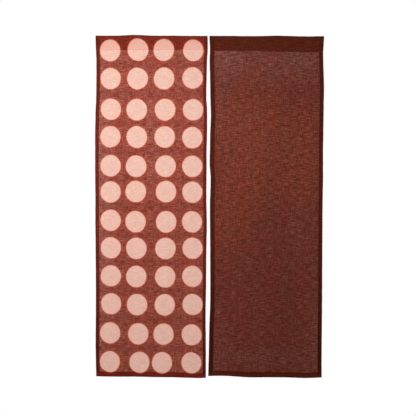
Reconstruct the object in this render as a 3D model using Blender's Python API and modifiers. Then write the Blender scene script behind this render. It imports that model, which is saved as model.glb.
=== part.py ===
"""A two-panel noren: a split linen curtain that hangs from a rod pushed through its pockets.

Each panel is one length of cloth. Its top is turned to the back and sewn down as a rod pocket,
and its sides and foot are hemmed to the back. Metres, +Z up, X across the doorway, and the
viewer stands on the -Y side. The origin is the middle of the top edge, over the slit.
"""

import math

import bmesh
import bpy

# Driving dimensions
DROP = 1.400
PANEL_WIDTH = 0.458
SLIT = 0.014
CLOTH = 0.001
SIDE_HEM = 0.016
FOOT_HEM = 0.020
ROD_ROOM = 0.016
MEETING_GAP = 0.0003

# How the surfaces are divided
HEM_STEP = 0.0008
COLUMN_PITCH = 0.040
ROW_PITCH = 0.045
ARC_STEPS = 10
WALL_STEPS = 4
WELD = 0.0001

# The most layers of cloth anywhere, where two hems cross
MOST_LAYERS = 3

# Lengths over which the hung cloth turns from straight at the seam to folded, and curls
SETTLE = 0.55
CURL_REACH = 0.09

# Columns of the tables, in metres. A side edge is shifted towards +X, an end edge upwards, and
# a fold runs from its place at the seam to its place at the foot and is deep towards the back.
SIDES = ("drop", "left", "right")
ENDS = ("across", "top", "seam", "foot")
FOLDS = ("at_seam", "at_foot", "half_width", "deep")

DOTTED = {
    "name": "dotted",
    "left": -SLIT / 2 - PANEL_WIDTH,
    "seam": 0.059,
    "curl": 0.004,
    "colour": (0.30, 0.075, 0.045, 1.0),
    "sides": (
        (0.000, 0.003, 0.003),
        (0.050, 0.004, 0.004),
        (0.100, 0.006, 0.001),
        (0.180, 0.006, -0.002),
        (0.260, 0.005, -0.002),
        (0.300, 0.003, 0.000),
        (0.400, 0.001, 0.001),
        (0.475, 0.001, -0.002),
        (0.550, 0.001, 0.000),
        (0.660, 0.002, -0.002),
        (0.770, 0.002, 0.000),
        (0.880, 0.003, -0.002),
        (1.020, 0.004, -0.003),
        (1.140, 0.004, -0.005),
        (1.260, 0.003, -0.004),
        (1.400, 0.005, -0.004),
    ),
    "ends": (
        (0.000, 0.000, 0.000, 0.003),
        (0.085, 0.000, 0.000, 0.002),
        (0.160, 0.003, 0.001, 0.001),
        (0.235, 0.000, 0.000, 0.000),
        (0.310, 0.000, 0.001, 0.000),
        (0.385, -0.001, 0.001, -0.003),
        (0.430, -0.001, 0.001, -0.005),
        (0.458, -0.001, 0.001, -0.004),
    ),
    "folds": (
        (0.050, 0.035, 0.070, -0.003),
        (0.165, 0.190, 0.095, 0.005),
        (0.300, 0.270, 0.100, -0.005),
        (0.415, 0.425, 0.065, 0.003),
    ),
}

PLAIN = {
    "name": "plain",
    "left": SLIT / 2,
    "seam": 0.061,
    "curl": -0.005,
    "colour": (0.13, 0.032, 0.020, 1.0),
    "sides": (
        (0.000, -0.002, 0.009),
        (0.050, 0.000, 0.006),
        (0.100, 0.000, 0.006),
        (0.200, 0.001, 0.009),
        (0.270, 0.003, 0.008),
        (0.330, 0.004, 0.007),
        (0.400, 0.002, 0.006),
        (0.470, 0.000, 0.005),
        (0.580, 0.004, 0.005),
        (0.690, 0.001, 0.003),
        (0.880, 0.002, 0.002),
        (1.100, 0.001, 0.001),
        (1.210, -0.003, 0.000),
        (1.320, -0.005, -0.001),
        (1.400, -0.007, -0.001),
    ),
    "ends": (
        (0.000, -0.001, 0.001, 0.005),
        (0.085, -0.001, 0.000, 0.004),
        (0.160, -0.002, 0.000, 0.000),
        (0.235, -0.001, -0.001, -0.001),
        (0.270, 0.000, -0.001, -0.001),
        (0.310, -0.001, -0.002, -0.002),
        (0.385, -0.003, -0.003, -0.004),
        (0.458, -0.002, -0.003, -0.001),
    ),
    "folds": (
        (0.045, 0.060, 0.075, 0.004),
        (0.180, 0.150, 0.100, -0.005),
        (0.320, 0.345, 0.095, 0.005),
        (0.425, 0.420, 0.055, -0.003),
    ),
}


def reading(rows, place, column):
    """A column's value at a place along the first column, on a smooth curve through the rows."""
    last = len(rows) - 1
    i = 0
    while i < last - 1 and place > rows[i + 1][0]:
        i += 1
    a, b, c, d = (rows[max(0, min(k, last))][column] for k in range(i - 1, i + 3))
    t = (place - rows[i][0]) / (rows[i + 1][0] - rows[i][0])
    t = max(0.0, min(1.0, t))
    return b + t / 2 * (c - a + t * (2 * a - 5 * b + 4 * c - d + t * (3 * (b - c) + d - a)))


def eased(t):
    """0 to 1 with no kink at either end."""
    t = max(0.0, min(1.0, t))
    return t * t * (3 - 2 * t)


def from_side(across):
    """Distance from the nearer side edge of the flat cloth."""
    return min(across, PANEL_WIDTH - across)


def outline(panel, across, drop):
    """X and Z of a flat place on the cloth, with the panel's uneven edges."""
    left = panel["left"] + reading(panel["sides"], drop, SIDES.index("left"))
    right = panel["left"] + PANEL_WIDTH + reading(panel["sides"], drop, SIDES.index("right"))
    top, seam, foot = (reading(panel["ends"], across, ENDS.index(k)) for k in ENDS[1:])
    if drop < panel["seam"]:
        rise = top + (seam - top) * drop / panel["seam"]
    else:
        rise = seam + (foot - seam) * (drop - panel["seam"]) / (DROP - panel["seam"])
    return left + (right - left) * across / PANEL_WIDTH, rise - drop


def fold_depth(panel, across, drop):
    """Y of the soft vertical folds and of the curl at the two lower corners."""
    hung = (drop - panel["seam"]) / (DROP - panel["seam"])
    depth = 0.0
    for row in panel["folds"]:
        fold = dict(zip(FOLDS, row))
        centre = fold["at_seam"] + (fold["at_foot"] - fold["at_seam"]) * hung
        near = max(0.0, 1 - ((across - centre) / fold["half_width"]) ** 2)
        depth += fold["deep"] * near * near
    depth *= eased((drop - panel["seam"]) / SETTLE)
    beside = max(0.0, 1 - from_side(across) / CURL_REACH)
    above = max(0.0, 1 - (DROP - drop) / CURL_REACH)
    return depth + panel["curl"] * (beside * above) ** 2


def field_places(start, end, pitch):
    """Even places from start to end, both included."""
    steps = max(1, round((end - start) / pitch))
    return [start + (end - start) * i / steps for i in range(steps + 1)]


def across_places():
    """Columns from side to side, with a narrow step at each hem's inner edge."""
    hem_side, field_side = SIDE_HEM - HEM_STEP / 2, SIDE_HEM + HEM_STEP / 2
    field = field_places(field_side, PANEL_WIDTH - field_side, COLUMN_PITCH)
    return [0.0, hem_side] + field + [PANEL_WIDTH - hem_side, PANEL_WIDTH]


def drop_places(panel):
    """Rows from just under the pocket down to the foot, with a narrow step at the foot hem."""
    field_side, hem_side = DROP - FOOT_HEM - HEM_STEP / 2, DROP - FOOT_HEM + HEM_STEP / 2
    field = field_places(panel["seam"] + MEETING_GAP, field_side, ROW_PITCH)
    return field + [hem_side, DROP]


def linen(panel):
    """Matt linen in the panel's ground colour."""
    material = bpy.data.materials.new(panel["name"] + "_linen")
    material.use_nodes = True
    surface = material.node_tree.nodes["Principled BSDF"]
    surface.inputs["Base Color"].default_value = panel["colour"]
    surface.inputs["Roughness"].default_value = 0.9
    surface.inputs["Metallic"].default_value = 0.0
    return material


def sewn_cloth(name, panel, places, layers):
    """A sheet from rows of outer points, thickened inwards by the layers of cloth at each."""
    columns = len(places[0])
    bm = bmesh.new()
    weight = bm.verts.layers.deform.verify()
    bmesh.ops.create_grid(bm, x_segments=columns - 1, y_segments=len(places) - 1, size=1.0)
    ordered = sorted(bm.verts, key=lambda v: (-round(v.co.y, 4), v.co.x))
    for k, vert in enumerate(ordered):
        row, column = divmod(k, columns)
        vert.co = places[row][column]
        vert[weight][0] = layers[row][column] / MOST_LAYERS
    bmesh.ops.remove_doubles(bm, verts=bm.verts, dist=WELD)
    mesh = bpy.data.meshes.new(name)
    bm.to_mesh(mesh)
    bm.free()
    mesh.shade_smooth()
    mesh.materials.append(panel["material"])
    cloth = bpy.data.objects.new(name, mesh)
    group = cloth.vertex_groups.new(name="layers")
    thickness = cloth.modifiers.new("cloth_thickness", "SOLIDIFY")
    thickness.thickness = MOST_LAYERS * CLOTH
    thickness.offset = -1.0
    thickness.use_even_offset = True
    thickness.vertex_group = group.name
    return cloth


def panel_point(panel, across, drop):
    """A point on the front of the hanging cloth."""
    x, z = outline(panel, across, drop)
    return x, fold_depth(panel, across, drop) - CLOTH - MEETING_GAP / 2, z


def make_panel(panel):
    """The hanging cloth below the pocket, with its two side hems and its foot hem."""
    columns = across_places()
    rows = drop_places(panel)
    places = [[panel_point(panel, across, drop) for across in columns] for drop in rows]
    layers = [
        [1 + (from_side(across) < SIDE_HEM) + (drop > DROP - FOOT_HEM) for across in columns]
        for drop in rows
    ]
    return sewn_cloth("panel_" + panel["name"], panel, places, layers)


def between(start, end, steps):
    """The points that divide the way from start to end, both ends left out."""
    return [
        tuple(a + (b - a) * i / steps for a, b in zip(start, end)) for i in range(1, steps)
    ]


def pocket_round(panel, across):
    """Y and drop round the pocket's outside: up the back, over the rod, down the front, and
    across the sewn foot to where it began. The back bulges over the side hems' extra layers."""
    radius = ROD_ROOM / 2 + CLOTH
    half_foot = CLOTH + MEETING_GAP / 2
    over_hem = 2 * CLOTH if from_side(across) < SIDE_HEM + HEM_STEP else 0.0
    lean = math.asin((radius - half_foot) / (panel["seam"] - radius))
    arc = []
    for i in range(ARC_STEPS + 1):
        angle = -lean + (math.pi + 2 * lean) * i / ARC_STEPS
        arc.append((radius * math.cos(angle), radius - radius * math.sin(angle)))
    back_foot = (half_foot + over_hem, panel["seam"])
    front_foot = (-half_foot, panel["seam"])
    back = [back_foot] + between(back_foot, arc[0], WALL_STEPS)
    front = between(arc[-1], front_foot, WALL_STEPS) + [front_foot]
    return back + arc + front + [back_foot]


def make_heading(panel):
    """The rod pocket: a flat sleeve with both ends open, closed where it is sewn down."""
    columns = across_places()
    sections = [pocket_round(panel, across) for across in columns]
    places, layers = [], []
    for ring in zip(*sections):
        row = []
        for across, (y, drop) in zip(columns, ring):
            x, z = outline(panel, across, drop)
            row.append((x, y, z))
        places.append(row)
        layers.append([1 + (from_side(across) < SIDE_HEM) for across in columns])
    return sewn_cloth("heading_" + panel["name"], panel, places, layers)


def main():
    for thing in list(bpy.data.objects):
        bpy.data.objects.remove(thing, do_unlink=True)
    collection = bpy.data.collections.new("noren_curtain")
    bpy.context.scene.collection.children.link(collection)
    hanging_line = bpy.data.objects.new("hanging_line", None)
    collection.objects.link(hanging_line)
    for panel in (DOTTED, PLAIN):
        panel["material"] = linen(panel)
        for cloth in (make_heading(panel), make_panel(panel)):
            collection.objects.link(cloth)
            cloth.parent = hanging_line


main()
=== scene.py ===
import math

import bmesh
import bpy
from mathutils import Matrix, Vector, noise
from mathutils.bvhtree import BVHTree


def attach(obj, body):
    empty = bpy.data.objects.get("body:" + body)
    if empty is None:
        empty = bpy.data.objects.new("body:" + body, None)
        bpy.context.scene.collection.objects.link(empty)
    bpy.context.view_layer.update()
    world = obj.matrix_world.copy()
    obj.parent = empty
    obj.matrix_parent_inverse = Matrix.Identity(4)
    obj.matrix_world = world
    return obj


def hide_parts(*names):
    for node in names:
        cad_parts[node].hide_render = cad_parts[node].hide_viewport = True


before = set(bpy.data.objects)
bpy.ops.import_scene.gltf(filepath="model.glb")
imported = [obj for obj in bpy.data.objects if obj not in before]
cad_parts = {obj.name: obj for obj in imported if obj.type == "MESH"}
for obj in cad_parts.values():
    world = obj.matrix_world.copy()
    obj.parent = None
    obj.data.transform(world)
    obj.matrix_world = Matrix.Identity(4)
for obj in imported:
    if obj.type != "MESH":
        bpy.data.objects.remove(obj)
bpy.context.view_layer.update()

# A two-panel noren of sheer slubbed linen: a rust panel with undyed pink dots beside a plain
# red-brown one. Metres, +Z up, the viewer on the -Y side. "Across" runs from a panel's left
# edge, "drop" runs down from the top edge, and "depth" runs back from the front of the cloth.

# The curtain's own sizes, as in the solids
DROP = 1.400
PANEL_WIDTH = 0.458
SLIT = 0.014
FOOT_HEM = 0.020
ROD_ROOM = 0.016
SOLID_CLOTH = 0.001
MEETING_GAP = 0.0003
SETTLE = 0.55
CURL_REACH = 0.09
FRONT = -SOLID_CLOTH - MEETING_GAP / 2

# The real cloth: how deep its layers lie where it is hemmed, and how much is tucked under
SIDE_STACK = 0.0009
FIELD_STACK = 0.0012
CORNER_STACK = 0.0028
CORNER_SPREAD = 0.014
TUCK = 0.006
TUCK_DEPTH = 0.3

# The mesh: the size of its cells, and its steps over a tuck, round a hem's inner turn, round a
# folded edge and over the rod
CELL = 0.0040
TUCK_CELLS = 2
TURN_STEPS = 4
EDGE_STEPS = 6
ROD_STEPS = 14

# Columns of the tables, in metres. A side edge is shifted towards +X, an end edge upwards, and
# a fold runs from its place at the seam to its place at the foot and is deep towards the back.
# A dot's place is its X, and a patch of tint is an oval with a share of the full tint.
SIDES = ("drop", "left", "right")
ENDS = ("across", "top", "seam", "foot")
FOLDS = ("at_seam", "at_foot", "half_width", "deep")
DOT_NAMES = ("outer_left", "inner_left", "inner_right", "outer_right")
DOTS = ("drop", *DOT_NAMES, "left_falls", "right_falls")
PATCHES = ("across", "drop", "half_width", "half_height", "share")

DOTTED = {
    "name": "dotted",
    "nodes": ("heading_dotted", "panel_dotted"),
    "seed": 3.0,
    "left": -SLIT / 2 - PANEL_WIDTH,
    "seam": 0.059,
    "left_hem": 0.0146,
    "right_hem": 0.0128,
    "curl": 0.004,
    "sides": (
        (0.000, 0.003, 0.003),
        (0.050, 0.004, 0.004),
        (0.100, 0.006, 0.001),
        (0.180, 0.006, -0.001),
        (0.260, 0.005, -0.002),
        (0.300, 0.003, 0.001),
        (0.400, 0.001, 0.001),
        (0.475, 0.001, -0.001),
        (0.550, 0.001, -0.001),
        (0.660, 0.002, -0.002),
        (0.770, 0.002, 0.000),
        (0.880, 0.003, -0.002),
        (1.020, 0.004, -0.003),
        (1.140, 0.004, -0.005),
        (1.260, 0.003, -0.004),
        (1.400, 0.005, -0.004),
    ),
    "ends": (
        (0.000, 0.000, 0.000, 0.003),
        (0.085, 0.000, 0.000, 0.002),
        (0.160, 0.003, 0.001, 0.001),
        (0.235, 0.000, 0.000, 0.000),
        (0.310, 0.000, 0.001, 0.000),
        (0.385, -0.001, 0.001, -0.003),
        (0.430, -0.001, 0.001, -0.005),
        (0.458, -0.001, 0.001, -0.004),
    ),
    "folds": (
        (0.050, 0.035, 0.070, -0.003),
        (0.165, 0.190, 0.095, 0.005),
        (0.300, 0.270, 0.100, -0.005),
        (0.415, 0.425, 0.065, 0.003),
    ),
    "dots": (
        (0.059, -0.403, -0.289, -0.183, -0.062, 0.002, 0.002),
        (0.176, -0.401, -0.291, -0.182, -0.065, 0.000, -0.002),
        (0.304, -0.400, -0.294, -0.178, -0.063, -0.002, 0.000),
        (0.416, -0.402, -0.294, -0.179, -0.066, -0.001, 0.002),
        (0.536, -0.401, -0.297, -0.176, -0.066, -0.002, -0.001),
        (0.640, -0.401, -0.298, -0.174, -0.066, 0.002, 0.001),
        (0.764, -0.401, -0.299, -0.173, -0.067, -0.006, -0.002),
        (0.873, -0.400, -0.296, -0.176, -0.065, -0.002, -0.003),
        (0.989, -0.400, -0.296, -0.177, -0.066, -0.002, -0.004),
        (1.104, -0.399, -0.293, -0.179, -0.065, -0.003, -0.004),
        (1.224, -0.403, -0.288, -0.184, -0.069, -0.003, 0.000),
        (1.341, -0.404, -0.283, -0.190, -0.070, -0.002, -0.002),
    ),
    # Pale patches: partly uneven dye, partly painted light from behind, strongest at the left edge
    "pale": (
        (0.010, 0.750, 0.085, 1.100, 1.5),
        (0.225, 0.420, 0.055, 0.300, 0.5),
        (0.229, 0.330, 0.320, 0.480, 0.15),
    ),
    "ruddy": (
        (0.458, 0.500, 0.060, 0.600, 0.4),
        (0.229, 0.330, 0.320, 0.480, 1.9),
    ),
    "deep": (),
}

PLAIN = {
    "name": "plain",
    "nodes": ("heading_plain", "panel_plain"),
    "seed": 11.0,
    "left": SLIT / 2,
    "seam": 0.061,
    "left_hem": 0.0178,
    "right_hem": 0.0162,
    "curl": -0.005,
    "sides": (
        (0.000, -0.002, 0.009),
        (0.050, 0.000, 0.006),
        (0.100, -0.001, 0.006),
        (0.200, 0.001, 0.009),
        (0.270, 0.002, 0.008),
        (0.330, 0.004, 0.007),
        (0.400, 0.001, 0.006),
        (0.470, 0.000, 0.005),
        (0.530, -0.001, 0.005),
        (0.590, 0.003, 0.005),
        (0.690, 0.000, 0.003),
        (0.880, 0.001, 0.002),
        (1.100, 0.001, 0.001),
        (1.210, -0.003, 0.000),
        (1.320, -0.005, -0.001),
        (1.400, -0.007, -0.001),
    ),
    "ends": (
        (0.000, -0.001, 0.000, 0.005),
        (0.085, -0.001, -0.001, 0.004),
        (0.160, -0.002, -0.001, 0.000),
        (0.235, -0.001, -0.003, -0.001),
        (0.270, 0.000, -0.004, -0.001),
        (0.310, -0.001, -0.005, -0.002),
        (0.385, -0.003, -0.006, -0.004),
        (0.458, -0.002, -0.006, -0.001),
    ),
    "folds": (
        (0.045, 0.060, 0.075, 0.004),
        (0.180, 0.150, 0.100, -0.005),
        (0.320, 0.345, 0.095, 0.005),
        (0.425, 0.420, 0.055, -0.003),
    ),
    "dots": (),
    # Pale patches: partly uneven dye, partly painted light from behind, along the edges, top and
    # foot
    "pale": (
        (0.040, 0.080, 0.160, 0.150, 1.0),
        (0.250, 0.080, 0.250, 0.100, 0.6),
        (0.030, 0.300, 0.080, 0.200, 0.4),
        (0.400, 0.100, 0.130, 0.130, 0.5),
        (0.010, 1.300, 0.100, 0.300, 0.4),
        (0.450, 1.250, 0.100, 0.400, 0.5),
        (0.229, 0.160, 0.300, 0.080, 0.35),
        (0.229, 1.320, 0.300, 0.070, 0.5),
        (0.380, 0.850, 0.110, 0.200, 0.3),
    ),
    "ruddy": (
        (0.150, 0.420, 0.260, 0.340, 1.0),
        (0.400, 0.480, 0.130, 0.320, 0.9),
        (0.050, 0.780, 0.120, 0.250, 0.5),
        (0.120, 0.680, 0.160, 0.260, 0.5),
        (0.330, 0.640, 0.120, 0.150, 0.4),
    ),
    # Painted shade: darker patches low on the panel
    "deep": (
        (0.310, 1.100, 0.190, 0.440, 0.8),
        (0.260, 1.340, 0.260, 0.120, 0.7),
    ),
}

# Dots: radius at the top edge and at the foot, the outer dots' share of it, the columns that
# say how far under their row's drop those lie, how much taller than wide a dot is, how far its
# edge strays from round, how quickly, and how far apart the rows' seeds lie. The row before the
# first, at DOT_BEHIND, is turned to the back, and no distance is read past FAR_FROM_DOTS.
DOT_RADIUS_TOP = 0.0423
DOT_RADIUS_FOOT = 0.0413
OUTER_DOTS = 0.986
OUTER_FALLS = {"outer_left": "left_falls", "outer_right": "right_falls"}
DOT_TALLER = 1.055
DOT_STRAY = 0.0006
DOT_STRAY_PACE = 1.3
DOT_SEED_STEP = 5
DOT_BEHIND = -0.057
FAR_FROM_DOTS = 0.05

# The dyed ground is lighter level with a row of dots than between rows: full within this
# distance of the row's middle, and gone after the next
ROW_NEAR = 0.034
ROW_FADE = 0.020


def reading(rows, place, column):
    """A column's value at a place along the first column, on a smooth curve through the rows."""
    last = len(rows) - 1
    i = 0
    while i < last - 1 and place > rows[i + 1][0]:
        i += 1
    a, b, c, d = (rows[max(0, min(k, last))][column] for k in range(i - 1, i + 3))
    t = (place - rows[i][0]) / (rows[i + 1][0] - rows[i][0])
    t = max(0.0, min(1.0, t))
    return b + t / 2 * (c - a + t * (2 * a - 5 * b + 4 * c - d + t * (3 * (b - c) + d - a)))


def eased(t):
    """0 to 1 with no kink at either end."""
    t = max(0.0, min(1.0, t))
    return t * t * (3 - 2 * t)


def from_side(across):
    """Distance from the nearer side edge of the hemmed cloth."""
    return min(across, PANEL_WIDTH - across)


def near_hem(panel, across):
    """Width of the nearer side hem."""
    return panel["left_hem"] if across < PANEL_WIDTH / 2 else panel["right_hem"]


def outline(panel, across, drop):
    """X and Z of a flat place on the cloth, with the panel's uneven edges."""
    left = panel["left"] + reading(panel["sides"], drop, SIDES.index("left"))
    right = panel["left"] + PANEL_WIDTH + reading(panel["sides"], drop, SIDES.index("right"))
    top, seam, foot = (reading(panel["ends"], across, ENDS.index(k)) for k in ENDS[1:])
    if drop < panel["seam"]:
        rise = top + (seam - top) * drop / panel["seam"]
    else:
        rise = seam + (foot - seam) * (drop - panel["seam"]) / (DROP - panel["seam"])
    return left + (right - left) * across / PANEL_WIDTH, rise - drop


def fold_depth(panel, across, drop):
    """Depth of the soft vertical folds and of the curl at the two lower corners."""
    hung = (drop - panel["seam"]) / (DROP - panel["seam"])
    depth = 0.0
    for row in panel["folds"]:
        fold = dict(zip(FOLDS, row))
        centre = fold["at_seam"] + (fold["at_foot"] - fold["at_seam"]) * hung
        near = max(0.0, 1 - ((across - centre) / fold["half_width"]) ** 2)
        depth += fold["deep"] * near * near
    depth *= eased((drop - panel["seam"]) / SETTLE)
    beside = max(0.0, 1 - from_side(across) / CURL_REACH)
    above = max(0.0, 1 - (DROP - drop) / CURL_REACH)
    return depth + panel["curl"] * (beside * above) ** 2


# Small unevenness that the coarse solids leave out: cockling over the whole cloth, puckers
# that the stitches pull along the hems, and gathers in the rod pocket. Cockles and gathers are
# longer down the panel than across it: a gather by GATHER_LONGER, and a cockle because its
# noise runs only COCKLE_SLOWER as fast down the panel.
COCKLE_SIZE = 0.075
COCKLE_SLOWER = 0.45
COCKLE_DEPTH = 0.0016
PUCKER_SIZE = 0.013
PUCKER_DEPTH = 0.0005
PUCKER_REACH = 0.030
GATHER_SIZE = 0.011
GATHER_LONGER = 6
GATHER_DEPTH = 0.0008


def relief(panel, across, drop):
    """Depth of the small unevenness at a place on the cloth."""
    seed = panel["seed"]
    hung = eased((drop - panel["seam"]) / CURL_REACH)
    down = COCKLE_SLOWER * drop
    cockle = noise.noise(Vector((across / COCKLE_SIZE, down / COCKLE_SIZE, seed)))
    depth = COCKLE_DEPTH * cockle * hung
    side = math.exp(-from_side(across) / PUCKER_REACH)
    foot = math.exp(-(DROP - drop) / PUCKER_REACH)
    depth += PUCKER_DEPTH * side * hung * noise.noise(Vector((drop / PUCKER_SIZE, seed, across)))
    depth += PUCKER_DEPTH * foot * noise.noise(Vector((across / PUCKER_SIZE, seed, drop)))
    if drop < panel["seam"]:
        swell = math.sin(math.pi * max(0.0, drop) / panel["seam"])
        tall = GATHER_LONGER * GATHER_SIZE
        gather = noise.noise(Vector((across / GATHER_SIZE, drop / tall, seed)))
        depth += GATHER_DEPTH * swell * gather
    return depth


# Folded edges stray by this much over about this length, and the straying of one edge carries
# into the cloth over this many times that length
EDGE_STRAY = 0.0005
EDGE_STRAY_SIZE = 0.028
EDGE_STRAY_INWARD = 8

# The folded edges swell outward by this much, and the swelling fades over this distance
EDGE_SWELL = 0.0007
SWELL_REACH = 0.008


def swelling(place, far):
    """How far a place between two folded edges, at 0 and at far, moves towards the far one."""
    return EDGE_SWELL * (math.exp((place - far) / SWELL_REACH) - math.exp(-place / SWELL_REACH))


def flat_place(panel, across, drop):
    """X and Z of a place on the cloth, with its edges a little unsteady."""
    x, z = outline(panel, across, drop)
    size, inward, seed = EDGE_STRAY_SIZE, EDGE_STRAY_INWARD, panel["seed"]
    x += EDGE_STRAY * noise.noise(Vector((drop / size, across / size / inward, seed)))
    z += EDGE_STRAY * noise.noise(Vector((across / size, drop / size / inward, -seed)))
    return x + swelling(across, PANEL_WIDTH), z - swelling(drop, DROP)


def patch_share(rows, across, drop):
    """How far soft patches of tint take hold at a place."""
    share = 0.0
    for row in rows:
        patch = dict(zip(PATCHES, row))
        over = (across - patch["across"]) / patch["half_width"]
        down = (drop - patch["drop"]) / patch["half_height"]
        near = max(0.0, 1 - over * over - down * down)
        share += patch["share"] * near * near
    return share


def run(start, end, steps):
    """Points on a straight line, the last one left out."""
    return [tuple(a + (b - a) * i / steps for a, b in zip(start, end)) for i in range(steps)]


def turn(centre, radius, start, end, steps):
    """Points on an arc in degrees from the first axis to the second, the last one left out."""
    points = []
    for i in range(steps):
        angle = math.radians(start + (end - start) * i / steps)
        points.append((centre[0] + radius * math.cos(angle), centre[1] + radius * math.sin(angle)))
    return points


def hem_section(hem, stack):
    """A hem cut across, as distance from its fold and depth: from the raw edge tucked between
    the layers, round its inner fold, along the back and round the outer fold to the front."""
    inner = stack * (1 - TUCK_DEPTH) / 2
    inner_centre = (hem - inner, stack - inner)
    outer_centre = (stack / 2, stack / 2)
    tuck = run((hem - TUCK, stack * TUCK_DEPTH), (hem - inner, stack * TUCK_DEPTH), TUCK_CELLS)
    back = run((hem - inner, stack), (stack / 2, stack), round(hem / CELL))
    return (
        tuck
        + turn(inner_centre, inner, -90, 90, TURN_STEPS)
        + back
        + turn(outer_centre, stack / 2, 90, 270, EDGE_STEPS)
    )


def across_section(panel):
    """The cloth cut level, as across and depth, from the left raw edge to the right one."""
    left = hem_section(panel["left_hem"], SIDE_STACK)
    edges = (SIDE_STACK / 2, 0.0), (PANEL_WIDTH - SIDE_STACK / 2, 0.0)
    field = run(edges[0], edges[1], round(PANEL_WIDTH / CELL))
    right = hem_section(panel["right_hem"], SIDE_STACK)
    right = [(PANEL_WIDTH - near, depth) for near, depth in reversed(right)]
    return left + field + [edges[1]] + right


def stack_at(panel, across):
    """How deep the layers of the foot hem lie: more where the side hems run into it."""
    inward = max(0.0, from_side(across) - near_hem(panel, across)) / CORNER_SPREAD
    return FIELD_STACK + (CORNER_STACK - FIELD_STACK) * (1 - eased(inward))


def down_section(panel, stack):
    """The cloth cut upright, as drop and depth: from the raw edge tucked in at the pocket's
    seam, up its back, over the rod, down the front and round the foot hem."""
    seam, rod = panel["seam"], ROD_ROOM / 2 + SOLID_CLOTH
    rod_centre = (rod, -FRONT)
    inner = stack * (1 - TUCK_DEPTH) / 2
    front_lean = math.degrees(math.asin((rod + FRONT) / (seam - rod)))
    back_lean = math.degrees(math.asin((rod - FRONT - stack) / (seam - rod)))
    over = turn(rod_centre, rod, 90 - back_lean, 270 + front_lean, ROD_STEPS)
    tuck = run((seam - TUCK, stack * TUCK_DEPTH), (seam - inner, stack * TUCK_DEPTH), TUCK_CELLS)
    back = run((seam - inner, stack), over[0], round((seam - rod) / CELL))
    end = math.radians(270 + front_lean)
    front_start = (rod + rod * math.cos(end), -FRONT + rod * math.sin(end))
    front = run(front_start, (seam, 0.0), round((seam - rod) / CELL))
    hung = run((seam, 0.0), (DROP - stack / 2, 0.0), round((DROP - seam) / CELL))
    foot = [(DROP - near, depth) for near, depth in reversed(hem_section(FOOT_HEM, stack))]
    seam_turn = turn((seam - inner, stack - inner), inner, -90, 90, TURN_STEPS)
    return tuck + seam_turn + back + over + front + hung + [(DROP - stack / 2, 0.0)] + foot


def lengths(points, origin):
    """Distance along a line of points from the one at origin."""
    along = [0.0]
    for here, there in zip(points, points[1:]):
        along.append(along[-1] + math.dist(here, there))
    return [a - along[origin] for a in along]


def inward_normals(points):
    """At each point, the way towards the back of the cloth."""
    last = len(points) - 1
    normals = []
    for i in range(last + 1):
        (a, b), (c, d) = points[max(0, i - 1)], points[min(last, i + 1)]
        size = math.dist((a, b), (c, d))
        normals.append((-(d - b) / size, (c - a) / size))
    return normals


def dot_distance(panel, x, drop):
    """Distance from the edge of the nearest dot, less than nothing inside it."""
    nearest = FAR_FROM_DOTS
    for number, row in enumerate(panel["dots"]):
        places = dict(zip(DOTS, row))
        fallen = places["drop"] / DROP
        radius = DOT_RADIUS_TOP + (DOT_RADIUS_FOOT - DOT_RADIUS_TOP) * fallen
        for column, name in enumerate(DOT_NAMES):
            middle, size = places["drop"], radius
            if name in OUTER_FALLS:
                middle, size = middle + places[OUTER_FALLS[name]], radius * OUTER_DOTS
            for centre in (middle,) if number else (middle, DOT_BEHIND):
                over, down = x - places[name], (drop - centre) / DOT_TALLER
                away = math.hypot(over, down)
                if away - size > nearest + DOT_STRAY:
                    continue
                angle, pace = math.atan2(down, over), DOT_STRAY_PACE
                seed = panel["seed"] + DOT_SEED_STEP * number + column
                stray = noise.noise(Vector((pace * math.cos(angle), pace * math.sin(angle), seed)))
                nearest = min(nearest, away - size - 2 * DOT_STRAY * stray)
    return nearest


def row_share(panel, drop):
    """1 level with a row of dots and 0 midway between rows."""
    nearest = min(abs(drop - row[DOTS.index("drop")]) for row in panel["dots"])
    return 1 - eased((nearest - ROW_NEAR) / ROW_FADE)


# What the cloth's material reads at each point of the sheet, in metres or as a share
READINGS = (
    "dot_distance",
    "beside_dots",
    "from_fold",
    "from_side_hem",
    "above_seam",
    "from_foot",
    "pale",
    "ruddy",
    "deep",
)


def surface_readings(panel, x, across, drop, unrolled):
    """The readings at a place, where unrolled is the drop with the turned parts laid out."""
    found = {
        "from_fold": min(from_side(across), drop, DROP - drop),
        "from_side_hem": from_side(across) - near_hem(panel, across),
        "above_seam": panel["seam"] - drop,
        "from_foot": DROP - drop,
    }
    if panel["dots"]:
        found["dot_distance"] = dot_distance(panel, x, unrolled)
        found["beside_dots"] = row_share(panel, unrolled)
    for tint in ("pale", "ruddy", "deep"):
        found[tint] = patch_share(panel[tint], across, drop)
    return found


def smooth_piece(name, bm):
    """A smooth-shaded object from a finished mesh."""
    mesh = bpy.data.meshes.new(name)
    bm.to_mesh(mesh)
    bm.free()
    mesh.shade_smooth()
    piece = bpy.data.objects.new(name, mesh)
    bpy.context.scene.collection.objects.link(piece)
    return piece


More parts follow.
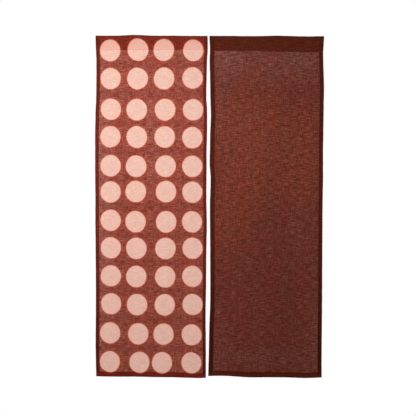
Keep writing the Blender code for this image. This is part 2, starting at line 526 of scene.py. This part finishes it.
def make_cloth(panel):
    """One panel as a single sheet, with its hems turned and its pocket wrapped over the rod."""
    level = across_section(panel)
    uprights = [down_section(panel, stack_at(panel, across)) for across, depth in level]
    ways = [inward_normals(points) for points in uprights]
    plain_upright = down_section(panel, FIELD_STACK)
    top_row = min(range(len(plain_upright)), key=lambda i: plain_upright[i][0])
    side_column = level.index(min(level, key=lambda place: place[0]))
    u_places = lengths(level, side_column)
    v_places = lengths(plain_upright, top_row)
    columns, rows = len(level), len(plain_upright)

    bm = bmesh.new()
    uv_layer = bm.loops.layers.uv.new("cloth")
    layers = {name: bm.verts.layers.float.new(name) for name in READINGS}
    bmesh.ops.create_grid(bm, x_segments=columns - 1, y_segments=rows - 1, size=1.0)
    ordered = sorted(bm.verts, key=lambda v: (-round(v.co.y, 5), v.co.x))
    flat = {}
    for k, vert in enumerate(ordered):
        row, column = divmod(k, columns)
        across, sunk = level[column]
        drop, depth = uprights[column][row]
        down, back = ways[column][row]
        drop, depth = drop + sunk * down, depth + sunk * back
        x, z = flat_place(panel, across, drop)
        y = FRONT + depth + fold_depth(panel, across, drop) + relief(panel, across, drop)
        vert.co = (x, y, z)
        flat[vert] = (u_places[column], v_places[row])
        unrolled = drop if row >= top_row else -drop
        if v_places[row] > DROP:
            unrolled = 2 * DROP - drop
        for name, value in surface_readings(panel, x, across, drop, unrolled).items():
            vert[layers[name]] = value
    for face in bm.faces:
        for loop in face.loops:
            loop[uv_layer].uv = flat[loop.vert]
    cut = (u_places[-1] - u_places[0], v_places[-1] - v_places[0])
    return smooth_piece("cloth_" + panel["name"], bm), cut


# Sewing thread: a lockstitch line along each hem and along the pocket's seam. Its radius, the
# pitch of the stitches, the gap between two, and how far the line lies inside the hem's edge.
THREAD = 0.00017
STITCH = 0.0030
STITCH_GAP = 0.0007
STITCH_IN = 0.0020
STITCH_SIDES = 5

# A stitch's rings: place along it, and swelling and lift off the cloth in radii of the thread
STITCH_RINGS = (
    (-0.50, 0.0, -1.0),
    (-0.38, 1.0, 0.4),
    (0.00, 1.0, 0.8),
    (0.38, 1.0, 0.4),
    (0.50, 0.0, -1.0),
)

# Rays that find the cloth's two faces start this far off it
RAY_START = PANEL_WIDTH


def add_stitch(bm, here, there, outward):
    """One stitch between two needle holes, bowed a little off the cloth between them."""
    along = (there - here).normalized()
    middle, length = (here + there) / 2, (there - here).length
    sideways = along.cross(outward).normalized()
    rings = []
    for place, swell, lift in STITCH_RINGS:
        centre = middle + along * (place * length) + outward * (lift * THREAD)
        count = STITCH_SIDES if swell else 1
        ring = []
        for i in range(count):
            angle = 2 * math.pi * i / STITCH_SIDES
            round_off = sideways * math.cos(angle) + outward * math.sin(angle)
            ring.append(bm.verts.new(centre + round_off * (THREAD * swell)))
        rings.append(ring)
    for a, b in zip(rings, rings[1:]):
        for i in range(STITCH_SIDES):
            j = (i + 1) % STITCH_SIDES
            corners = [a[i % len(a)], a[j % len(a)], b[j % len(b)], b[i % len(b)]]
            bm.faces.new(list(dict.fromkeys(corners)))


def stitch_lines(panel):
    """The two ends of each line of stitching, in across and drop."""
    left, right = panel["left_hem"] - STITCH_IN, PANEL_WIDTH - panel["right_hem"] + STITCH_IN
    foot, seam, near = DROP - FOOT_HEM + STITCH_IN, panel["seam"] - STITCH_IN, STITCH_IN / 2
    return (
        ((left, seam), (left, DROP - near)),
        ((right, seam), (right, DROP - near)),
        ((near, foot), (PANEL_WIDTH - near, foot)),
        ((near, seam), (PANEL_WIDTH - near, seam)),
    )


def make_stitching(panel, cloth):
    """All of a panel's stitches as one mesh, laid on the front and on the back of its cloth."""
    surface = BVHTree.FromPolygons(
        [v.co for v in cloth.data.vertices], [p.vertices for p in cloth.data.polygons]
    )
    bm = bmesh.new()
    for start, end in stitch_lines(panel):
        count = round(math.dist(start, end) / STITCH)
        share = (1 - STITCH_GAP / STITCH) / count
        for i in range(count):
            for outward in (Vector((0, -1, 0)), Vector((0, 1, 0))):
                holes = []
                for t in (i / count, i / count + share):
                    x, z = flat_place(panel, *(a + (b - a) * t for a, b in zip(start, end)))
                    away = Vector((x, 0, z)) + outward * RAY_START
                    holes.append(surface.ray_cast(away, -outward)[0])
                if None not in holes:
                    add_stitch(bm, holes[0], holes[1], outward)
    bmesh.ops.recalc_face_normals(bm, faces=bm.faces)
    return smooth_piece("stitching_" + panel["name"], bm)


# The yarn's thick and thin stretches: how far one reaches across the panel and down it. The
# warp runs down and the weft across, in single threads and in broad bars of several.
FINE_WARP = (0.0012, 0.030)
FINE_WEFT = (0.026, 0.0012)
THICK_WARP = (0.0042, 0.020)
THICK_WEFT = (0.027, 0.0025)
THIN_WARP = (0.0042, 0.022)
THIN_WEFT = (0.030, 0.0025)

# How much the broad warp bars vary beside the weft's, what each kind weighs in the density, the
# sums between which it rises from 0 to 1, and the power of the curve that it rises on
THICK_WARP_SPREAD = 0.5
THIN_WARP_SPREAD = 0.6
THICK_WEIGHT = 0.34
THIN_WEIGHT = 0.52
FINE_WEIGHT = 0.07
DENSITY_RANGE = (0.394, 0.588)
DENSITY_CURVE = 0.75

# The weave: its pitch, how far the threads wander, and how unevenly it lets light through
WEAVE_PITCH = 0.0012
WEAVE_WANDER = 9.0
WEAVE_SHADE = (0.88, 1.12)

# Uneven dye: the size of its clouds, the noise between its two tints, and the tints
DYE_CLOUD = (0.060, 0.075)
DYE_RANGE = (0.30, 0.70)
REDDER = (1.05, 0.95, 0.93, 1.0)
BROWNER = (0.95, 1.05, 1.07, 1.0)

# Where the painted shade along hems, folds and seams, and the tones round the dots, start and end,
# in metres
HEM_BLUR = 0.0010
LOW_REACH = 0.70
FOLD_BAND = (0.0010, 0.0050)
FOOT_SEAM_BAND = (0.0010, 0.0038)
SIDE_SEAM_BAND = (0.0008, 0.0030)
NEAR_DOT_REACH = 0.020
RIM_BAND = (0.0006, 0.0042)
DOT_BLUR = 0.0010
DOT_EDGE_BAND = (-0.0045, -0.0010)
SEAM_BLUR = 0.0005
BACKED_REACH = 0.040

# The share of light that comes through the cloth and not off its front, in one layer and where
# the pocket's seam backs it, and the density past which no hole is open between the threads
THROUGH_SHARE = 0.25
BACKED_SHARE = 0.13
CLOSED_DENSITY = 0.8

# Surface: roughness of thin and of thick yarn, and the height of the weave and of the slubs
ROUGH_THIN = 0.92
ROUGH_THICK = 0.78
WEAVE_HEIGHT = 0.35
SLUB_HEIGHT = 0.5

# The noise of every thread: how many finer octaves it has, and how strong they are
NOISE_DETAIL = 2.0
NOISE_ROUGHNESS = 0.55

# A mix node's sockets for colours, which share their names with those for numbers
MIX_SHARE, MIX_A, MIX_B, MIX_RESULT = 0, 6, 7, 2


class Nodes:
    """Adds shader nodes to one material and joins them."""

    def __init__(self, name):
        self.material = bpy.data.materials.new(name)
        self.material.use_nodes = True
        self.tree = self.material.node_tree
        self.tree.nodes.clear()

    def add(self, kind, settings=None, inputs=None):
        """One node, each of its inputs joined to a socket or set to a value."""
        node = self.tree.nodes.new(kind)
        for key, value in (settings or {}).items():
            setattr(node, key, value)
        for key, value in (inputs or {}).items():
            if isinstance(value, bpy.types.NodeSocket):
                self.tree.links.new(value, node.inputs[key])
            else:
                node.inputs[key].default_value = value
        return node

    def maths(self, operation, *values):
        """The result of one operation on values or sockets."""
        inputs = dict(enumerate(values))
        return self.add("ShaderNodeMath", {"operation": operation}, inputs).outputs[0]

    def mixed(self, way, share, a, b):
        """Colour a with b laid over it in one way, as far as the share says."""
        settings = {"data_type": "RGBA", "blend_type": way}
        inputs = {MIX_SHARE: share, MIX_A: a, MIX_B: b}
        return self.add("ShaderNodeMix", settings, inputs).outputs[MIX_RESULT]

    def blend(self, share, a, b):
        """From a to b."""
        return self.mixed("MIX", share, a, b)

    def shade(self, share, a, b):
        """From a to a times b."""
        return self.mixed("MULTIPLY", share, a, b)

    def ramp(self, value, low, high, start=0.0, end=1.0, way="SMOOTHSTEP"):
        """From start to end as the value goes from low to high, and level outside."""
        inputs = {"Value": value, "From Min": low, "From Max": high, "To Min": start, "To Max": end}
        return self.add("ShaderNodeMapRange", {"interpolation_type": way}, inputs).outputs[0]

    def fade(self, value, low, high, way="SMOOTHSTEP"):
        """From 1 to 0 as the value goes from low to high."""
        return self.ramp(value, low, high, 1.0, 0.0, way)

    def attribute(self, name):
        """One of the cloth's readings."""
        node = self.add("ShaderNodeAttribute", {"attribute_name": name})
        return node.outputs["Fac"]

    def threads(self, u, v, wide, tall):
        """Noise around 0.5 in stretches of about this width and height."""
        along = {"X": self.maths("MULTIPLY", u, 1 / wide), "Y": self.maths("MULTIPLY", v, 1 / tall)}
        inputs = {
            "Vector": self.add("ShaderNodeCombineXYZ", inputs=along).outputs[0],
            "Scale": 1.0,
            "Detail": NOISE_DETAIL,
            "Roughness": NOISE_ROUGHNESS,
        }
        return self.add("ShaderNodeTexNoise", {"noise_dimensions": "2D"}, inputs).outputs[0]

    def calmed(self, value, spread):
        """Noise with its distance from 0.5 times the spread."""
        return self.maths("MULTIPLY_ADD", value, spread, (1 - spread) / 2)


def linen_yarn(n, u, v, seed):
    """How densely the yarn lies, from 0 to 1, the height of its slubs and of its weave."""
    warp = n.threads(u, v, *FINE_WARP)
    weft = n.threads(u, v, *FINE_WEFT)
    fine = n.maths("ADD", warp, weft)

    # A thick bar crossing another is no thicker, and so with the thin ones
    warp_bars = n.calmed(n.threads(u, v, *THICK_WARP), THICK_WARP_SPREAD)
    thick = n.maths("MAXIMUM", warp_bars, n.threads(u, v, *THICK_WEFT))
    aside = n.maths("ADD", u, seed)
    warp_bars = n.calmed(n.threads(aside, v, *THIN_WARP), THIN_WARP_SPREAD)
    thin = n.maths("MINIMUM", warp_bars, n.threads(aside, v, *THIN_WEFT))
    thick = n.maths("MULTIPLY", thick, THICK_WEIGHT)
    broad = n.maths("ADD", thick, n.maths("MULTIPLY", thin, THIN_WEIGHT))
    density = n.maths("MULTIPLY_ADD", fine, FINE_WEIGHT, broad)
    density = n.maths("POWER", n.ramp(density, *DENSITY_RANGE, way="LINEAR"), DENSITY_CURVE)

    # Plain weave, fine enough to show only close to
    waves = []
    for place, threads in ((u, warp), (v, weft)):
        wander = n.maths("MULTIPLY", threads, WEAVE_WANDER)
        turns = n.maths("MULTIPLY_ADD", place, 2 * math.pi / WEAVE_PITCH, wander)
        waves.append(n.maths("SINE", turns))
    return density, n.maths("ADD", fine, broad), n.maths("MULTIPLY", *waves)


def ground_front(n, look, density):
    """What the dyed ground sends back, with painted shade: darker in the hems, darkest along the
    folds.
    """
    front = n.blend(density, look["front_thin"], look["front_thick"])
    from_foot = n.attribute("from_foot")
    from_side_hem = n.attribute("from_side_hem")
    over_foot_hem = n.maths("SUBTRACT", from_foot, FOOT_HEM)
    # Painted shade: the hems darker, as their doubled cloth lets less light through from behind
    hem = n.fade(n.maths("MINIMUM", from_side_hem, over_foot_hem), 0.0, HEM_BLUR)
    front = n.shade(hem, front, look["in_hem_painted_shade"])

    # Painted shade: the side hems darken further towards the foot hem, but not over it, as light
    # falls off
    low = n.fade(from_foot, FOOT_HEM, LOW_REACH)
    low = n.maths("MULTIPLY", low, n.ramp(from_foot, FOOT_HEM - HEM_BLUR, FOOT_HEM))
    low = n.maths("MULTIPLY", n.fade(from_side_hem, 0.0, HEM_BLUR), low)
    front = n.shade(low, front, look["in_low_hem_painted_shade"])

    # Painted shade along every folded edge: the sides, the top and the foot
    front = n.shade(n.fade(n.attribute("from_fold"), *FOLD_BAND), front, look["in_fold_painted_shade"])
    # Painted shade in the grooves along the stitching of the foot hem and the side hems
    foot_seam = n.maths("ABSOLUTE", n.maths("SUBTRACT", from_foot, FOOT_HEM - STITCH_IN))
    front = n.shade(n.fade(foot_seam, *FOOT_SEAM_BAND), front, look["in_foot_seam_painted_shade"])
    side_seam = n.maths("ABSOLUTE", n.maths("ADD", from_side_hem, STITCH_IN))
    return n.shade(n.fade(side_seam, *SIDE_SEAM_BAND), front, look["in_side_seam_painted_shade"])


def ground_through(n, panel, look, density, uneven, weave):
    """What the dyed ground lets past from behind; its pale patches are partly painted light."""
    through = n.blend(density, look["through_thin"], look["through_thick"])
    through = n.shade(1.0, through, uneven)
    through = n.shade(1.0, through, n.ramp(weave, -1.0, 1.0, *WEAVE_SHADE, way="LINEAR"))
    thinness = n.maths("SUBTRACT", 1.0, density)
    # Pale patches: partly uneven dye, partly painted light from behind. Ruddy ones: uneven dye
    for tint in ("pale", "ruddy"):
        share = n.maths("MULTIPLY", n.attribute(tint), thinness)
        through = n.mixed("ADD", share, through, look[tint])
    # Painted shade: the deep patches darken the light through low on the panel
    if panel["deep"]:
        through = n.shade(n.attribute("deep"), through, look["deep"])
    if panel["dots"]:
        through = n.shade(n.attribute("beside_dots"), through, look["beside_dots"])
    return through


def with_dots(n, look, density, front, through):
    """The ground's two colours with the undyed dots in them, and the share of light through."""
    distance = n.attribute("dot_distance")
    front = n.shade(n.fade(distance, 0.0, NEAR_DOT_REACH), front, look["near_dot"])
    front = n.blend(n.ramp(distance, *RIM_BAND), look["rim"], front)
    outside = n.ramp(distance, -DOT_BLUR, DOT_BLUR)
    dot = n.blend(density, look["dot_thin"], look["dot_thick"])
    dot = n.shade(n.ramp(distance, *DOT_EDGE_BAND), dot, look["dot_edge"])

    # The turned-under cloth at the pocket's seam backs the dots: painted shade, and less light
    # through
    above = n.attribute("above_seam")
    backed = n.fade(above, 0.0, BACKED_REACH, "LINEAR")
    backed = n.maths("MULTIPLY", n.ramp(above, 0.0, SEAM_BLUR), backed)
    dot = n.shade(backed, dot, look["dot_backed_painted_shade"])
    backed = n.maths("MULTIPLY", backed, n.maths("SUBTRACT", 1.0, outside))
    share = n.ramp(backed, 0.0, 1.0, THROUGH_SHARE, BACKED_SHARE, "LINEAR")

    dot_through = n.blend(density, look["dot_through_thin"], look["dot_through_thick"])
    return n.blend(outside, dot, front), n.blend(outside, dot_through, through), share


def linen_material(panel, look):
    """Sheer slubbed linen, with undyed dots where the panel has them."""
    n = Nodes(panel["name"] + "_sheer_linen")
    place = n.add("ShaderNodeUVMap", {"uv_map": "cloth"})
    split = n.add("ShaderNodeSeparateXYZ", inputs={0: place.outputs[0]})
    u = n.maths("ADD", split.outputs[0], panel["seed"])
    v = split.outputs[1]
    density, slubs, weave = linen_yarn(n, u, v, panel["seed"])
    dye = n.ramp(n.threads(u, v, *DYE_CLOUD), *DYE_RANGE, way="LINEAR")
    uneven = n.blend(dye, BROWNER, REDDER)

    front = n.shade(1.0, ground_front(n, look, density), uneven)
    through = ground_through(n, panel, look, density, uneven, weave)
    through_share = THROUGH_SHARE
    if panel["dots"]:
        front, through, through_share = with_dots(n, look, density, front, through)
    open_share = n.ramp(density, 0.0, CLOSED_DENSITY, look["open_thin"], 0.0)

    slubs = n.maths("MULTIPLY", slubs, SLUB_HEIGHT)
    height = n.maths("ADD", n.maths("MULTIPLY", weave, WEAVE_HEIGHT), slubs)
    inputs = {"Height": height, "Distance": 0.0003, "Strength": 0.6}
    bump = n.add("ShaderNodeBump", inputs=inputs).outputs[0]
    surface = n.add(
        "ShaderNodeBsdfPrincipled",
        inputs={
            "Base Color": front,
            "Roughness": n.ramp(density, 0.0, 1.0, ROUGH_THIN, ROUGH_THICK),
            "Specular IOR Level": 0.06,
            "Sheen Weight": 0.04,
            "Sheen Roughness": 0.6,
            "Sheen Tint": look["sheen"],
            "Normal": bump,
        },
    ).outputs[0]
    past = n.add("ShaderNodeBsdfTranslucent", inputs={"Color": through, "Normal": bump}).outputs[0]
    holes = n.add("ShaderNodeBsdfTransparent").outputs[0]
    cloth = n.add("ShaderNodeMixShader", inputs={0: through_share, 1: surface, 2: past})
    sheer = n.add("ShaderNodeMixShader", inputs={0: open_share, 1: cloth.outputs[0], 2: holes})
    n.add("ShaderNodeOutputMaterial", inputs={"Surface": sheer.outputs[0]})
    return n.material


# Thread: how fine its twist is to the metre, the noise from between its turns to their middles,
# for its colour and for its roughness, the painted shade between them, and the roughness
TWIST_SCALE = 1800.0
TWIST_RANGE = (0.35, 0.65)
TWIST_ROUGH_RANGE = (0.3, 0.7)
TWIST_PAINTED_SHADE = 0.7
TWIST_ROUGHNESS = (0.8, 0.65)


def thread_material(name, colour):
    """Spun sewing thread with a twist along it."""
    n = Nodes(name)
    place = n.add("ShaderNodeTexCoord").outputs["Object"]
    inputs = {"Vector": place, "Scale": TWIST_SCALE}
    twist = n.add("ShaderNodeTexNoise", inputs=inputs).outputs[0]
    # Painted shade in the grooves between the twist's turns
    between = [part * TWIST_PAINTED_SHADE for part in colour[:3]] + [1.0]
    inputs = {"Height": twist, "Distance": 0.0001, "Strength": 0.4}
    bump = n.add("ShaderNodeBump", inputs=inputs).outputs[0]
    surface = n.add(
        "ShaderNodeBsdfPrincipled",
        inputs={
            "Base Color": n.blend(n.ramp(twist, *TWIST_RANGE), between, colour),
            "Roughness": n.ramp(twist, *TWIST_ROUGH_RANGE, *TWIST_ROUGHNESS),
            "Normal": bump,
        },
    )
    n.add("ShaderNodeOutputMaterial", inputs={"Surface": surface.outputs[0]})
    return n.material


# Cloth finish. Colours are linear. Front is what the fibres send back, and through is what
# they let past from behind, each for the thin and the thick stretches of the yarn. The in_,
# near_ and beside_ ones, deep, dot_edge and the dot_backed_painted_shade one are factors, and pale
# and ruddy are added. The in_ factors, the dot_backed_painted_shade one and deep are painted shade,
# and pale is partly painted light. open_thin is the share of open holes where the yarn is thinnest.
RUST = {
    "front_thin": (0.312, 0.0405, 0.0215, 1.0),
    "front_thick": (0.152, 0.0183, 0.0092, 1.0),
    "in_hem_painted_shade": (0.86, 0.71, 0.60, 1.0),
    "in_low_hem_painted_shade": (0.62, 0.50, 0.52, 1.0),
    "in_fold_painted_shade": (0.55, 0.28, 0.15, 1.0),
    "in_foot_seam_painted_shade": (0.66, 0.44, 0.28, 1.0),
    "in_side_seam_painted_shade": (0.93, 0.82, 0.74, 1.0),
    "near_dot": (1.25, 1.00, 0.95, 1.0),
    "beside_dots": (1.28, 1.26, 1.18, 1.0),
    "through_thin": (0.70, 0.300, 0.217, 1.0),
    "through_thick": (0.07, 0.005, 0.003, 1.0),
    "pale": (0.10, 0.18, 0.17, 1.0),
    "ruddy": (0.10, 0.0, 0.0, 1.0),
    "rim": (0.50, 0.075, 0.030, 1.0),
    "dot_thin": (1.00, 0.575, 0.470, 1.0),
    "dot_thick": (0.93, 0.480, 0.380, 1.0),
    "dot_edge": (1.0, 0.88, 0.83, 1.0),
    "dot_backed_painted_shade": (1.0, 0.93, 0.95, 1.0),
    "dot_through_thin": (0.60, 0.66, 0.57, 1.0),
    "dot_through_thick": (0.20, 0.21, 0.17, 1.0),
    "open_thin": 0.02,
    "sheen": (0.6, 0.12, 0.07, 1.0),
    "thread": (0.42, 0.095, 0.062, 1.0),
}
BROWN = {
    "front_thin": (0.163, 0.0284, 0.0131, 1.0),
    "front_thick": (0.079, 0.0132, 0.0059, 1.0),
    "in_hem_painted_shade": (0.93, 0.76, 0.62, 1.0),
    "in_low_hem_painted_shade": (0.62, 0.50, 0.52, 1.0),
    "in_fold_painted_shade": (0.55, 0.28, 0.15, 1.0),
    "in_foot_seam_painted_shade": (0.66, 0.44, 0.28, 1.0),
    "in_side_seam_painted_shade": (0.93, 0.80, 0.72, 1.0),
    "through_thin": (0.500, 0.129, 0.098, 1.0),
    "through_thick": (0.02, 0.002, 0.001, 1.0),
    "pale": (0.26, 0.19, 0.17, 1.0),
    "ruddy": (0.39, 0.087, 0.031, 1.0),
    "deep": (0.70, 0.80, 0.85, 1.0),
    "open_thin": 0.01,
    "sheen": (0.4, 0.1, 0.07, 1.0),
    "thread": (0.11, 0.018, 0.010, 1.0),
}


def look_at(thing, target):
    """Turns a camera or light to face a point."""
    thing.rotation_euler = (Vector(target) - thing.location).to_track_quat("-Z", "Y").to_euler()


# The photograph: its frame's width at the curtain, and where the frame's centre falls there
FRAME_WIDTH = 1.7073
FRAME_CENTRE_X = -0.0016
FRAME_CENTRE_Z = -0.7067
LENS = 100.0
SENSOR = 36.0


def make_camera():
    """The photograph's camera: level, straight in front of the curtain."""
    data = bpy.data.cameras.new("camera")
    data.lens = LENS
    data.sensor_width = SENSOR
    camera = bpy.data.objects.new("camera", data)
    distance = FRAME_WIDTH * LENS / SENSOR
    camera.location = (FRAME_CENTRE_X, -distance, FRAME_CENTRE_Z)
    camera.rotation_euler = (math.pi / 2, 0, 0)
    bpy.context.scene.collection.objects.link(camera)
    bpy.context.scene.camera = camera


def area_light(name, place, target, size, power):
    """A soft round lamp that faces a point."""
    data = bpy.data.lights.new(name, "AREA")
    data.shape = "DISK"
    data.size = size
    data.energy = power
    light = bpy.data.objects.new(name, data)
    light.location = place
    look_at(light, target)
    bpy.context.scene.collection.objects.link(light)


# Light that reaches the curtain from the white surroundings, which look fully white themselves
SURROUND = 0.53

# Two soft lamps: where each hangs, the point that it faces, its width and its power
LAMPS = {
    "key": ((-0.52, -1.5, -0.30), (-0.52, 0.0, -0.30), 0.8, 15.0),
    "behind": ((-0.45, 1.2, 0.0), (-0.45, 0.0, 0.0), 0.8, 13.0),
}


def make_light():
    """White surroundings, a soft lamp high on the left, and a weaker one behind the cloth."""
    world = bpy.data.worlds.new("white_surroundings")
    bpy.context.scene.world = world
    world.use_nodes = True
    tree = world.node_tree
    background = tree.nodes["Background"]
    background.inputs["Color"].default_value = (1.0, 1.0, 1.0, 1.0)
    path = tree.nodes.new("ShaderNodeLightPath")
    strength = tree.nodes.new("ShaderNodeMapRange")
    strength.inputs["To Min"].default_value = SURROUND
    tree.links.new(path.outputs["Is Camera Ray"], strength.inputs["Value"])
    tree.links.new(strength.outputs["Result"], background.inputs["Strength"])
    for name, (place, target, size, power) in LAMPS.items():
        area_light(name, place, target, size, power)
    bpy.context.scene.view_settings.view_transform = "Standard"


# The floor: how far it lies under the curtain's top, its size and its two tones
FLOOR_DROP = 2.0
FLOOR_RADIUS = 2.2
FLOOR_THICK = 0.02
FLOOR_SIDES = 128
FLOOR_SPECKLE = 40.0
FLOOR_DARK = (0.88, 0.875, 0.86, 1.0)
FLOOR_PALE = (0.93, 0.925, 0.91, 1.0)


def make_floor():
    """A plain pale floor under the hanging curtain, as under a doorway."""
    bpy.ops.mesh.primitive_cylinder_add(
        vertices=FLOOR_SIDES,
        radius=FLOOR_RADIUS,
        depth=FLOOR_THICK,
        location=(0, 0, -FLOOR_DROP - FLOOR_THICK / 2),
    )
    floor = bpy.context.object
    floor.name = "floor"
    n = Nodes("pale_floor")
    place = n.add("ShaderNodeTexCoord").outputs["Object"]
    speckle = n.add("ShaderNodeTexNoise", inputs={"Vector": place, "Scale": FLOOR_SPECKLE})
    shade = n.blend(speckle.outputs[0], FLOOR_DARK, FLOOR_PALE)
    surface = n.add("ShaderNodeBsdfPrincipled", inputs={"Base Color": shade, "Roughness": 0.8})
    n.add("ShaderNodeOutputMaterial", inputs={"Surface": surface.outputs[0]})
    floor.data.materials.append(n.material)


def dress(panel, look):
    """A panel's cloth and stitching, in place of its two solids."""
    cloth, cut = make_cloth(panel)
    cloth.data.materials.append(linen_material(panel, look))
    stitching = make_stitching(panel, cloth)
    stitching.data.materials.append(thread_material(panel["name"] + "_thread", look["thread"]))
    for piece in (cloth, stitching):
        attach(piece, "root")
    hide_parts(*panel["nodes"])


make_camera()
make_light()
make_floor()
dress(DOTTED, RUST)
dress(PLAIN, BROWN)
